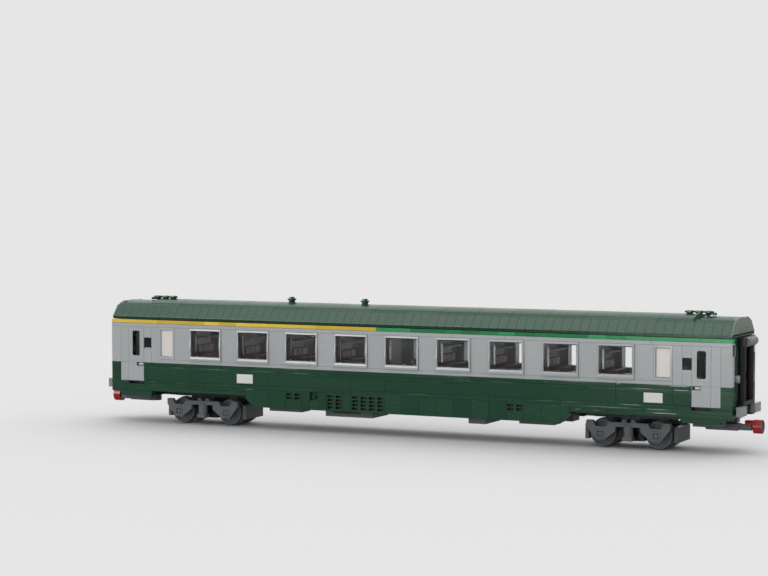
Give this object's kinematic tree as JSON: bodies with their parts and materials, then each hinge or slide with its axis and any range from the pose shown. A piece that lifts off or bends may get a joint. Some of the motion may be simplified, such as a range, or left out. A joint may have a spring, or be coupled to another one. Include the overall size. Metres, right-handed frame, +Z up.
{
  "type": "toy railway passenger coach built of bricks",
  "caption": "Long brick-built toy passenger coach: grey and green sides with windows and doors, rounded roof, swivelling bogies, turning wheels and magnetic couplers.",
  "frame": {"origin": "on the floor under the middle of the coach, at the wheels' lowest point", "axes": "+X along the coach towards its front end, +Y to its left side, +Z up"},
  "size_m": [0.611, 0.064, 0.1155],
  "materials": {
    "light_grey": "glossy moulded plastic",
    "dark_green": "glossy moulded plastic",
    "bright_green": "glossy moulded plastic",
    "yellow": "glossy moulded plastic",
    "dark_grey": "glossy moulded plastic",
    "middle_grey": "glossy moulded plastic",
    "black": "glossy moulded plastic",
    "reddish_brown": "glossy moulded plastic",
    "red": "glossy moulded plastic",
    "milky": "milky white pane",
    "clear": "clear moulded pane"
  },
  "bodies": {
    "coach_body": {"underframe": "dark_grey", "interior": "reddish_brown", "interior_front": "reddish_brown", "lower_side_right": "dark_green", "lower_side_left": "dark_green", "window_band_right": "light_grey", "window_band_left": "light_grey", "stripe_yellow_right": "yellow", "stripe_yellow_left": "yellow", "stripe_green_right": "bright_green", "stripe_green_left": "bright_green", "roof": "dark_green", "end_wall_front": "dark_green", "end_wall_rear": "dark_green", "gangway_front": "black", "gangway_rear": "black", "door_right_front": "light_grey", "door_right_rear": "light_grey", "door_left_front": "light_grey", "door_left_rear": "light_grey", "door_pane_right_front": "clear", "door_pane_right_rear": "clear", "door_pane_left_front": "clear", "door_pane_left_rear": "clear", "small_pane_right_front": "milky", "small_pane_right_rear": "milky", "small_pane_left_front": "milky", "small_pane_left_rear": "milky", "window_pane_right_1": "clear", "window_pane_right_2": "clear", "window_pane_right_3": "clear", "window_pane_right_4": "clear", "window_pane_right_5": "clear", "window_pane_right_6": "clear", "window_pane_right_7": "clear", "window_pane_right_8": "clear", "window_pane_right_9": "clear", "window_pane_left_1": "clear", "window_pane_left_2": "clear", "window_pane_left_3": "clear", "window_pane_left_4": "clear", "window_pane_left_5": "clear", "window_pane_left_6": "clear", "window_pane_left_7": "clear", "window_pane_left_8": "clear", "window_pane_left_9": "clear", "lower_end_right_rear": "dark_green", "lower_end_right_front": "dark_green", "lower_end_left_rear": "dark_green", "lower_end_left_front": "dark_green"},
    "bogie_front": {"bogie_frame_front": "dark_grey"},
    "bogie_rear": {"bogie_frame_rear": "dark_grey"},
    "axle_front_inner": {"wheelset_front_inner": "dark_grey"},
    "axle_front_outer": {"wheelset_front_outer": "dark_grey"},
    "axle_rear_inner": {"wheelset_rear_inner": "dark_grey"},
    "axle_rear_outer": {"wheelset_rear_outer": "dark_grey"},
    "coupler_arm_front": {"coupler_front": "dark_grey", "magnet_front": "red"},
    "coupler_arm_rear": {"coupler_rear": "dark_grey", "magnet_rear": "red"}
  },
  "joints": [
    {"name": "bogie_front_swivel", "type": "hinge", "parent": "coach_body", "child": "bogie_front", "pos_m": [0.2, 0, 0.0289], "axis": [0, 0, 1], "range_deg": [-40, 40]},
    {"name": "bogie_rear_swivel", "type": "hinge", "parent": "coach_body", "child": "bogie_rear", "pos_m": [-0.2, 0, 0.0289], "axis": [0, 0, 1], "range_deg": [-40, 40]},
    {"name": "axle_front_inner_spin", "type": "hinge", "parent": "bogie_front", "child": "axle_front_inner", "pos_m": [0.176, 0, 0.0121], "axis": [0, 1, 0], "continuous": true},
    {"name": "axle_front_outer_spin", "type": "hinge", "parent": "bogie_front", "child": "axle_front_outer", "pos_m": [0.224, 0, 0.0121], "axis": [0, 1, 0], "continuous": true},
    {"name": "axle_rear_inner_spin", "type": "hinge", "parent": "bogie_rear", "child": "axle_rear_inner", "pos_m": [-0.176, 0, 0.0121], "axis": [0, 1, 0], "continuous": true},
    {"name": "axle_rear_outer_spin", "type": "hinge", "parent": "bogie_rear", "child": "axle_rear_outer", "pos_m": [-0.224, 0, 0.0121], "axis": [0, 1, 0], "continuous": true},
    {"name": "coupler_front_swing", "type": "hinge", "parent": "coach_body", "child": "coupler_arm_front", "pos_m": [0.264, 0, 0.0204], "axis": [0, 0, 1], "range_deg": [-25, 25]},
    {"name": "coupler_rear_swing", "type": "hinge", "parent": "coach_body", "child": "coupler_arm_rear", "pos_m": [-0.264, 0, 0.0204], "axis": [0, 0, 1], "range_deg": [-25, 25]}
  ]
}
